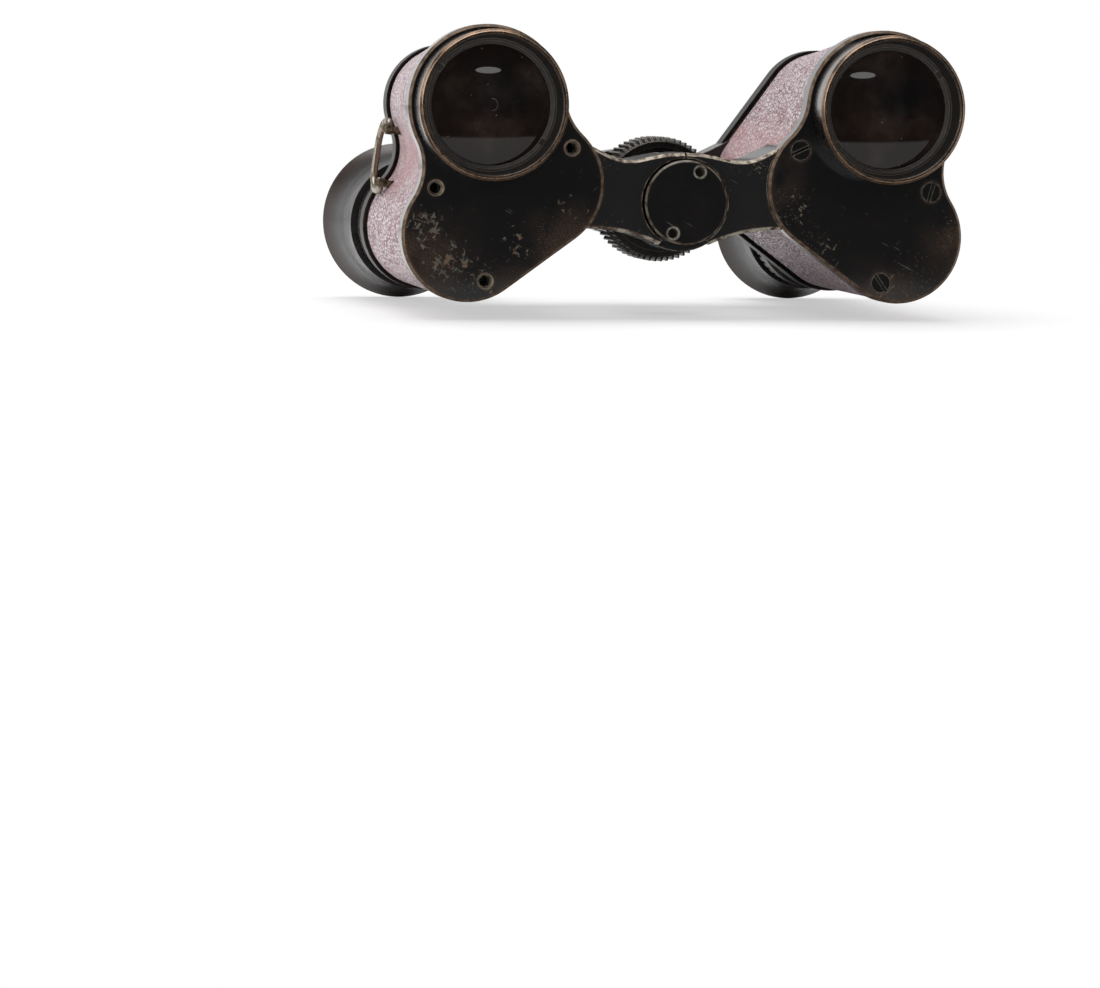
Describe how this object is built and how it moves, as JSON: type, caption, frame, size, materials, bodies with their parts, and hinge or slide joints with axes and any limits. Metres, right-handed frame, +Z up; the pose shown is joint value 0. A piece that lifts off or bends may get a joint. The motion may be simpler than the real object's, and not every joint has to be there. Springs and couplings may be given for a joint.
{
  "type": "binoculars",
  "caption": "Centre-focus prism binoculars with leather-covered bodies, folding hinge, milled focusing wheel, dioptre ring and wire strap bails.",
  "frame": {"origin": "on the surface it stands on, under the middle of its bounding box", "axes": "+Z up; the objectives face -Y and the eyepieces +Y; the hinge axis runs along Y; +X is to the right as seen from the objective end"},
  "size_m": [0.1022, 0.0806, 0.049],
  "materials": {
    "black_enamel": "worn gloss enamel over brass",
    "blackened_brass": "blackened, brass showing at the edges",
    "pebbled_leather": "fine pebbled grain with a pale bloom",
    "ebonite": "satin",
    "optical_glass": "polished",
    "prism_glass": "polished and ground",
    "spring_brass": "rolled",
    "steel": "turned",
    "nickelled_wire": "worn nickel plate"
  },
  "bodies": {
    "left_half": {"left_housing": "black_enamel", "left_leather": "pebbled_leather", "left_front_cover": "black_enamel", "left_rear_cover": "black_enamel", "left_rear_cover_screws": "steel", "left_objective_cell": "blackened_brass", "left_objective_retaining_ring": "blackened_brass", "left_objective_crown_lens": "optical_glass", "left_objective_flint_lens": "optical_glass", "left_front_prism": "prism_glass", "left_rear_prism": "prism_glass", "left_prism_straps": "spring_brass", "hinge_tube": "steel", "hinge_cap": "black_enamel", "front_thrust_sleeve": "blackened_brass", "rear_thrust_sleeve": "blackened_brass"},
    "right_half": {"right_housing": "black_enamel", "right_leather": "pebbled_leather", "right_front_cover": "black_enamel", "right_rear_cover": "black_enamel", "right_rear_cover_screws": "steel", "right_objective_cell": "blackened_brass", "right_objective_retaining_ring": "blackened_brass", "right_objective_crown_lens": "optical_glass", "right_objective_flint_lens": "optical_glass", "right_front_prism": "prism_glass", "right_rear_prism": "prism_glass", "right_prism_straps": "spring_brass", "right_front_cover_screws": "steel"},
    "focus_wheel": {"focus_wheel": "blackened_brass", "focus_wheel_cover": "blackened_brass"},
    "left_ocular": {"left_eyepiece_tube": "blackened_brass", "left_field_lens": "optical_glass", "left_eye_lens": "optical_glass", "left_field_stop": "blackened_brass", "left_eyecup": "ebonite", "left_bridge_arm": "black_enamel", "focus_rod": "steel", "focus_key": "steel", "bridge_nut": "blackened_brass"},
    "right_bridge": {"right_bridge_arm": "black_enamel", "right_eyepiece_sleeve": "blackened_brass"},
    "right_dioptre_ring": {"right_dioptre_ring": "blackened_brass"},
    "right_ocular": {"right_eyepiece_tube": "blackened_brass", "right_field_lens": "optical_glass", "right_eye_lens": "optical_glass", "right_field_stop": "blackened_brass", "right_eyecup": "ebonite"},
    "left_bail": {"left_strap_bail": "nickelled_wire"},
    "right_bail": {"right_strap_bail": "nickelled_wire"}
  },
  "joints": [
    {"name": "fold", "type": "hinge", "parent": "left_half", "child": "right_half", "pos_m": [0, -0.0099, 0.0198], "axis": [0, 1, 0], "range_deg": [0, 60]},
    {"name": "focus_turn", "type": "hinge", "parent": "left_half", "child": "focus_wheel", "pos_m": [0, -0.0091, 0.0198], "axis": [0, 1, 0], "range_deg": [-120, 210]},
    {"name": "left_focus_slide", "type": "slide", "parent": "left_half", "child": "left_ocular", "axis": [0, 1, 0], "range_m": [-0.002, 0.0035]},
    {"name": "right_focus_slide", "type": "slide", "parent": "right_half", "child": "right_bridge", "axis": [0, 1, 0], "range_m": [-0.002, 0.0035]},
    {"name": "dioptre_turn", "type": "hinge", "parent": "right_bridge", "child": "right_dioptre_ring", "pos_m": [0.037, 0.0227, 0.0141], "axis": [0, 1, 0], "range_deg": [-90, 90]},
    {"name": "dioptre_slide", "type": "slide", "parent": "right_bridge", "child": "right_ocular", "axis": [0, 1, 0], "range_m": [-0.0012, 0.0012]},
    {"name": "left_bail_swing", "type": "hinge", "parent": "left_half", "child": "left_bail", "pos_m": [-0.0456, 0.0021, 0.02645], "axis": [0.1426, 0, 0.9898], "range_deg": [-5, 155]},
    {"name": "right_bail_swing", "type": "hinge", "parent": "right_half", "child": "right_bail", "pos_m": [0.0456, 0.0021, 0.02645], "axis": [0.1426, 0, -0.9898], "range_deg": [-5, 155]}
  ],
  "couplings": [
    {"joint": "focus_turn", "follows": "left_focus_slide", "rad_per_m": 1047.2},
    {"joint": "right_focus_slide", "follows": "left_focus_slide", "ratio": 1},
    {"joint": "dioptre_turn", "follows": "dioptre_slide", "rad_per_m": 1309}
  ]
}
